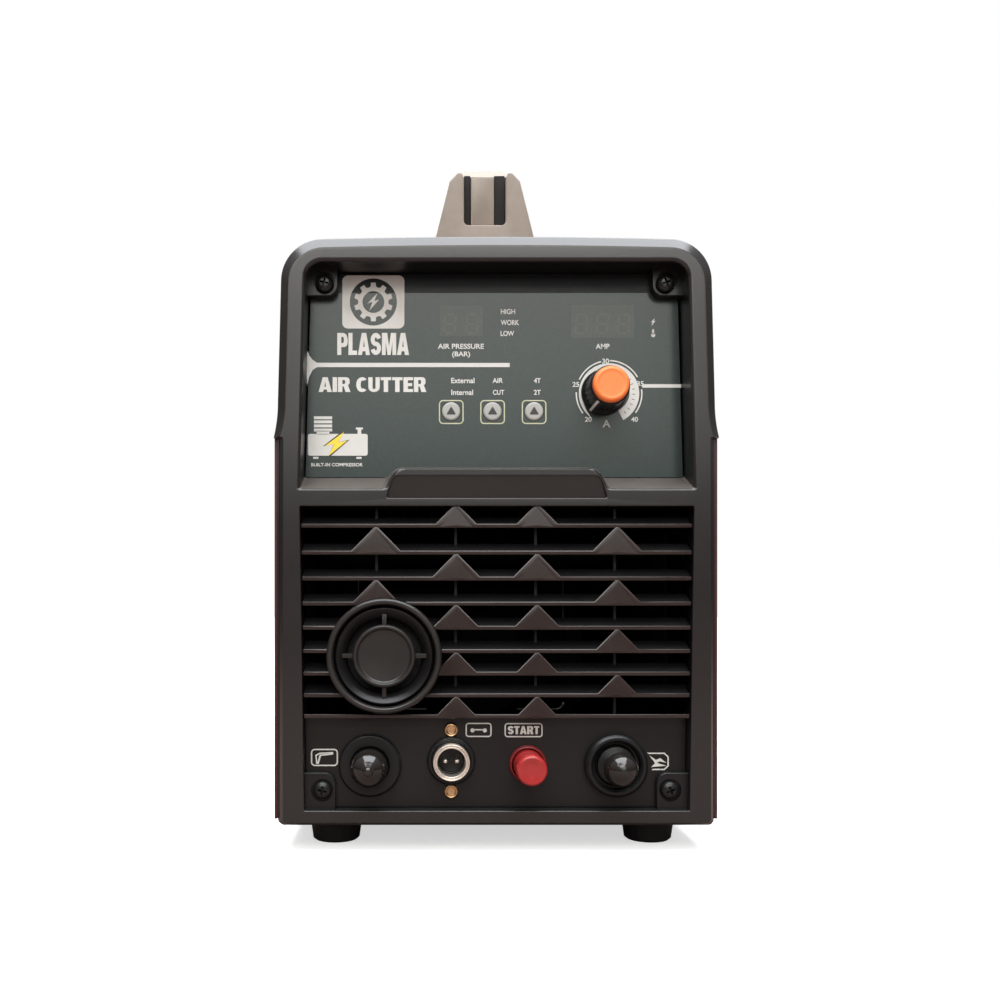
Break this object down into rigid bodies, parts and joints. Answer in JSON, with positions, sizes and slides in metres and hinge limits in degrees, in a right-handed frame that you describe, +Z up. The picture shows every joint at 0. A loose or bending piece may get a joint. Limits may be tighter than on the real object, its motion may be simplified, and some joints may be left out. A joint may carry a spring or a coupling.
{
  "type": "air plasma cutter",
  "caption": "Upright metal-cased air plasma cutter with a louvred front, a control panel with a knob, torch and clamp sockets, a carrying handle and rubber feet.",
  "frame": {"origin": "under the middle of the object's bounding box, on the floor that its feet stand on", "axes": "+X to the right as seen from the front, +Y from the front panel to the back, +Z up"},
  "size_m": [0.2026, 0.461, 0.3497],
  "materials": {
    "black_plastic": "black moulded plastic with a fine texture",
    "handle_plastic": "warm grey moulded plastic, matt",
    "gloss_plastic": "glossy black vinyl",
    "red_paint": "dark red powder coat on sheet steel",
    "black_steel": "black powder coat or black oxide on steel",
    "bare_steel": "zinc-plated sheet steel or wire",
    "overlay": "dark grey-green printed film, satin",
    "orange_plastic": "orange moulded plastic, satin",
    "red_plastic": "red moulded plastic, satin",
    "white_plastic": "white key plastic",
    "rubber": "black rubber",
    "chrome": "nickel or chrome plate",
    "brass": "turned brass",
    "aluminium": "cast or extruded aluminium",
    "circuit_board": "green solder mask on glass fibre",
    "display": "unlit seven-segment display behind film",
    "foam": "open-cell filter foam",
    "winding": "copper winding on a ferrite core"
  },
  "bodies": {
    "case": {"air_inlet": "brass", "base_pan": "bare_steel", "bezel_screw_lower_left": "black_steel", "bezel_screw_lower_right": "black_steel", "bezel_screw_upper_left": "black_steel", "bezel_screw_upper_right": "black_steel", "cable_gland": "black_plastic", "case_cover": "red_paint", "compressor_motor": "black_steel", "compressor_pump": "aluminium", "connector_panel": "black_steel", "control_pcb": "circuit_board", "control_plate": "black_steel", "display_current": "display", "display_pressure": "display", "fan_frame": "black_plastic", "fan_guard": "bare_steel", "foot_front_left": "rubber", "foot_front_right": "rubber", "foot_rear_left": "rubber", "foot_rear_right": "rubber", "front_bezel": "black_plastic", "front_grille": "black_plastic", "handle_front_post": "handle_plastic", "handle_grip": "handle_plastic", "handle_rear_post": "handle_plastic", "heatsink": "aluminium", "intake_cap": "black_plastic", "intake_filter": "foam", "intake_ring": "black_plastic", "main_pcb": "circuit_board", "overlay_film": "overlay", "pot_body": "bare_steel", "power_switch_body": "black_plastic", "rear_bezel": "black_plastic", "rear_panel": "black_steel", "socket_screw_lower": "brass", "socket_screw_upper": "brass", "solenoid_valve": "brass", "start_button_collar": "red_plastic", "switch_socket_flange": "black_plastic", "switch_socket_insert": "black_plastic", "switch_socket_shell": "chrome", "torch_core": "brass", "torch_flange": "black_plastic", "transformer": "winding", "work_core": "brass", "work_flange": "black_plastic"},
    "current_knob": {"knob_cap": "orange_plastic", "knob_skirt": "black_plastic", "pot_shaft": "aluminium"},
    "air_source_key": {"key_air_source": "white_plastic"},
    "mode_key": {"key_mode": "white_plastic"},
    "trigger_key": {"key_trigger": "white_plastic"},
    "start_button": {"start_button_cap": "red_plastic"},
    "power_rocker": {"power_switch_rocker": "red_plastic"},
    "case_fan": {"fan_rotor": "black_plastic"},
    "compressor_shaft": {"compressor_fan": "black_plastic"},
    "torch_cap": {"torch_dust_cap": "gloss_plastic"},
    "work_plug": {"work_dust_plug": "gloss_plastic"}
  },
  "joints": [
    {"name": "knob_turn", "type": "hinge", "parent": "case", "child": "current_knob", "pos_m": [0.0512, -0.1994, 0.2117], "axis": [0, 1, 0], "range_deg": [0, 286]},
    {"name": "air_source_press", "type": "slide", "parent": "case", "child": "air_source_key", "axis": [0, 1, 0], "range_m": [0, 0.0004], "stiffness_N_per_m": 400},
    {"name": "mode_press", "type": "slide", "parent": "case", "child": "mode_key", "axis": [0, 1, 0], "range_m": [0, 0.0004], "stiffness_N_per_m": 400},
    {"name": "trigger_press", "type": "slide", "parent": "case", "child": "trigger_key", "axis": [0, 1, 0], "range_m": [0, 0.0004], "stiffness_N_per_m": 400},
    {"name": "start_press", "type": "slide", "parent": "case", "child": "start_button", "axis": [0, 1, 0], "range_m": [0, 0.003], "stiffness_N_per_m": 300},
    {"name": "power_toggle", "type": "hinge", "parent": "case", "child": "power_rocker", "pos_m": [0.05, 0.199, 0.07], "axis": [-1, 0, 0], "range_deg": [0, 20]},
    {"name": "fan_spin", "type": "hinge", "parent": "case", "child": "case_fan", "pos_m": [0, 0.1835, 0.185], "axis": [0, 1, 0], "continuous": true},
    {"name": "compressor_spin", "type": "hinge", "parent": "case", "child": "compressor_shaft", "pos_m": [0, 0.1025, 0.076], "axis": [0, 1, 0], "continuous": true},
    {"name": "torch_cap_pull", "type": "slide", "parent": "case", "child": "torch_cap", "axis": [0, -1, 0], "range_m": [0, 0.03]},
    {"name": "work_plug_pull", "type": "slide", "parent": "case", "child": "work_plug", "axis": [0, -1, 0], "range_m": [0, 0.045]}
  ]
}
